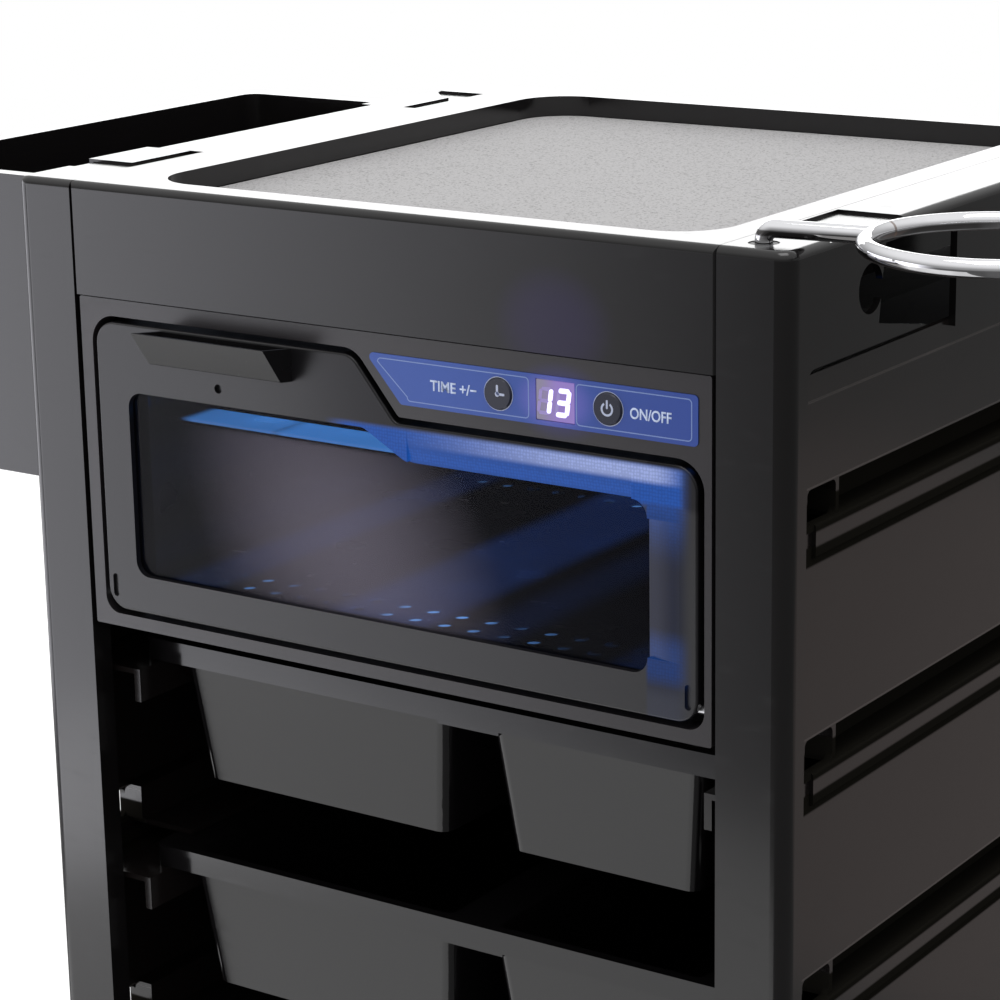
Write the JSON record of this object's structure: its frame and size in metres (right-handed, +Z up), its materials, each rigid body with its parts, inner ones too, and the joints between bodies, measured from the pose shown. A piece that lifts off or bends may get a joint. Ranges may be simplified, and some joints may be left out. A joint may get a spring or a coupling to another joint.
{
  "type": "uv sterilizer cart",
  "caption": "Tall trolley on swivel castors with sliding bins, a side bin and a swinging ring, its top bay a UV cabinet with a drop-down windowed door.",
  "frame": {"origin": "middle of the bounding box, on the floor", "axes": "+Z up, +X to the right when facing the cabinet's door, -Y out of the door towards the user"},
  "size_m": [0.6314, 0.3758, 0.8391],
  "materials": {
    "gloss_black": "gloss",
    "satin_black": "satin",
    "mat_grey": "speckled matt",
    "chrome": "polished",
    "steel": "satin",
    "liner": "polished",
    "housing": "satin",
    "smoked_pane": "gloss",
    "lamp_glass": "gloss",
    "white_plastic": "matt",
    "label_blue": "satin",
    "display_dark": "gloss",
    "button_dark": "gloss",
    "board_green": "satin",
    "magnet": "matt",
    "nylon_black": "satin",
    "tread": "matt"
  },
  "bodies": {
    "cart": {"left_side_frame": "gloss_black", "right_side_frame": "gloss_black", "left_side_panel": "gloss_black", "right_side_panel": "gloss_black", "top_tray": "gloss_black", "rubber_mat": "mat_grey", "base": "gloss_black", "back_panel": "gloss_black", "back_screws": "steel", "frame_screws": "steel", "castor_stems": "steel", "ring_bush": "nylon_black", "module_bezel": "satin_black", "module_housing": "housing", "uv_chamber": "liner", "chamber_shelf": "liner", "lamp_reflector": "liner", "lamp_shield": "liner", "uv_lamp": "lamp_glass", "lamp_holder_left": "white_plastic", "lamp_holder_right": "white_plastic", "ballast": "housing", "power_inlet": "nylon_black", "control_board": "board_green", "tact_switches": "nylon_black", "digit_display": "display_dark", "control_label": "label_blue", "hinge_pins": "steel", "catch_magnet": "magnet", "door_switch": "nylon_black"},
    "door": {"door_frame": "satin_black", "door_window": "smoked_pane", "window_retainer": "satin_black", "door_handle": "gloss_black", "strike_plate": "steel"},
    "time_button": {"time_button": "button_dark"},
    "power_button": {"power_button": "button_dark"},
    "tray_1": {"tray_1": "gloss_black"},
    "tray_2": {"tray_2": "gloss_black"},
    "tray_3": {"tray_3": "gloss_black"},
    "tray_4": {"tray_4": "gloss_black"},
    "tray_5": {"tray_5": "gloss_black"},
    "ring": {"hair_dryer_ring": "chrome"},
    "side_bin": {"side_bin": "gloss_black"},
    "castor_front_left": {"castor_hood_front_left": "nylon_black"},
    "wheels_front_left": {"castor_wheels_front_left": "tread", "castor_axle_front_left": "steel"},
    "castor_front_right": {"castor_hood_front_right": "nylon_black"},
    "wheels_front_right": {"castor_wheels_front_right": "tread", "castor_axle_front_right": "steel"},
    "castor_rear_left": {"castor_hood_rear_left": "nylon_black"},
    "wheels_rear_left": {"castor_wheels_rear_left": "tread", "castor_axle_rear_left": "steel"},
    "castor_rear_right": {"castor_hood_rear_right": "nylon_black"},
    "wheels_rear_right": {"castor_wheels_rear_right": "tread", "castor_axle_rear_right": "steel"}
  },
  "joints": [
    {"name": "door_hinge", "type": "hinge", "parent": "cart", "child": "door", "pos_m": [0, -0.1569, 0.6452], "axis": [1, 0, 0], "range_deg": [0, 90]},
    {"name": "time_button_press", "type": "slide", "parent": "cart", "child": "time_button", "axis": [0, 1, 0], "range_m": [0, 0.0005], "stiffness_N_per_m": 600, "springref_m": -0.0008},
    {"name": "power_button_press", "type": "slide", "parent": "cart", "child": "power_button", "axis": [0, 1, 0], "range_m": [0, 0.0005], "stiffness_N_per_m": 600, "springref_m": -0.0008},
    {"name": "tray_1_slide", "type": "slide", "parent": "cart", "child": "tray_1", "axis": [0, -1, 0], "range_m": [0, 0.25]},
    {"name": "tray_2_slide", "type": "slide", "parent": "cart", "child": "tray_2", "axis": [0, -1, 0], "range_m": [0, 0.25]},
    {"name": "tray_3_slide", "type": "slide", "parent": "cart", "child": "tray_3", "axis": [0, -1, 0], "range_m": [0, 0.25]},
    {"name": "tray_4_slide", "type": "slide", "parent": "cart", "child": "tray_4", "axis": [0, -1, 0], "range_m": [0, 0.25]},
    {"name": "tray_5_slide", "type": "slide", "parent": "cart", "child": "tray_5", "axis": [0, -1, 0], "range_m": [0, 0.25]},
    {"name": "ring_swing", "type": "hinge", "parent": "cart", "child": "ring", "pos_m": [0.173, -0.1475, 0.83], "axis": [0, 0, 1], "continuous": true},
    {"name": "side_bin_lift_off", "type": "slide", "parent": "cart", "child": "side_bin", "axis": [-1, 0, 0], "range_m": [0, 0.05]},
    {"name": "castor_front_left_swivel", "type": "hinge", "parent": "cart", "child": "castor_front_left", "pos_m": [-0.138, -0.1121, 0.07], "axis": [0, 0, 1], "continuous": true},
    {"name": "wheels_front_left_roll", "type": "hinge", "parent": "castor_front_left", "child": "wheels_front_left", "pos_m": [-0.138, -0.0941, 0.025], "axis": [1, 0, 0], "continuous": true},
    {"name": "castor_front_right_swivel", "type": "hinge", "parent": "cart", "child": "castor_front_right", "pos_m": [0.138, -0.1121, 0.07], "axis": [0, 0, 1], "continuous": true},
    {"name": "wheels_front_right_roll", "type": "hinge", "parent": "castor_front_right", "child": "wheels_front_right", "pos_m": [0.138, -0.0941, 0.025], "axis": [1, 0, 0], "continuous": true},
    {"name": "castor_rear_left_swivel", "type": "hinge", "parent": "cart", "child": "castor_rear_left", "pos_m": [-0.138, 0.1379, 0.07], "axis": [0, 0, 1], "continuous": true},
    {"name": "wheels_rear_left_roll", "type": "hinge", "parent": "castor_rear_left", "child": "wheels_rear_left", "pos_m": [-0.138, 0.1559, 0.025], "axis": [1, 0, 0], "continuous": true},
    {"name": "castor_rear_right_swivel", "type": "hinge", "parent": "cart", "child": "castor_rear_right", "pos_m": [0.138, 0.1379, 0.07], "axis": [0, 0, 1], "continuous": true},
    {"name": "wheels_rear_right_roll", "type": "hinge", "parent": "castor_rear_right", "child": "wheels_rear_right", "pos_m": [0.138, 0.1559, 0.025], "axis": [1, 0, 0], "continuous": true}
  ]
}
